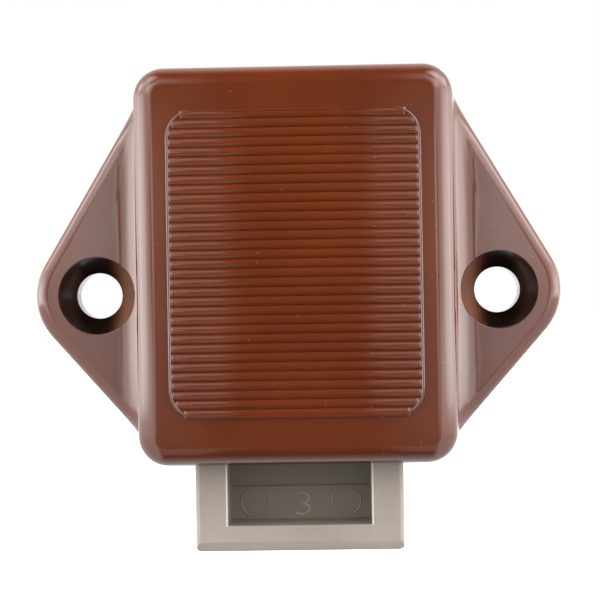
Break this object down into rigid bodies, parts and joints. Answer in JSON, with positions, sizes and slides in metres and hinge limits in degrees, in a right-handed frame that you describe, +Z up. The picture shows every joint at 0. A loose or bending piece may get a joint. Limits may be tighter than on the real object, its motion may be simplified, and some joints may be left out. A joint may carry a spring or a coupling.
{
  "type": "push-button lock",
  "caption": "Surface-mounted push-button cabinet lock: brown moulded case with screw ears and a reeded face, a sliding bolt, and a button and rosette on the door's outside.",
  "frame": {"origin": "on the button's axis, midway between the screw holes, in the plane where the case lies on the door's inner face", "axes": "+Y through the door towards the button, +Z up with the bolt pointing down, +X to the right as seen from inside the cabinet"},
  "size_m": [0.0504, 0.0329, 0.0458],
  "materials": {
    "brown_plastic": "moulded, satin",
    "beige_nylon": "moulded, satin",
    "zinc_steel": "zinc plated",
    "bright_steel": "ground",
    "spring_steel": "drawn wire",
    "soft_washer": "matt"
  },
  "bodies": {
    "root": {"case_shell": "brown_plastic", "base_plate": "zinc_steel", "base_plate_screws": "zinc_steel", "threaded_barrel": "zinc_steel", "rosette": "brown_plastic", "rosette_washer": "soft_washer", "bolt_spring_left": "spring_steel", "bolt_spring_right": "spring_steel", "detent_wire": "spring_steel", "detent_leaf_spring": "spring_steel"},
    "button": {"plunger": "beige_nylon", "button_stem": "bright_steel", "push_button": "brown_plastic"},
    "bolt": {"latch_bolt": "beige_nylon", "drive_pin": "bright_steel"}
  },
  "joints": [
    {"name": "button_slide", "type": "slide", "parent": "root", "child": "button", "axis": [0, 1, 0], "range_m": [0, 0.006], "deforming": ["bolt_spring_left", "bolt_spring_right", "detent_wire"]},
    {"name": "bolt_slide", "type": "slide", "parent": "root", "child": "bolt", "axis": [0, 0, 1], "range_m": [0, 0.007]}
  ],
  "couplings": [
    {"joint": "bolt_slide", "follows": "button_slide", "ratio": 1.1667}
  ]
}
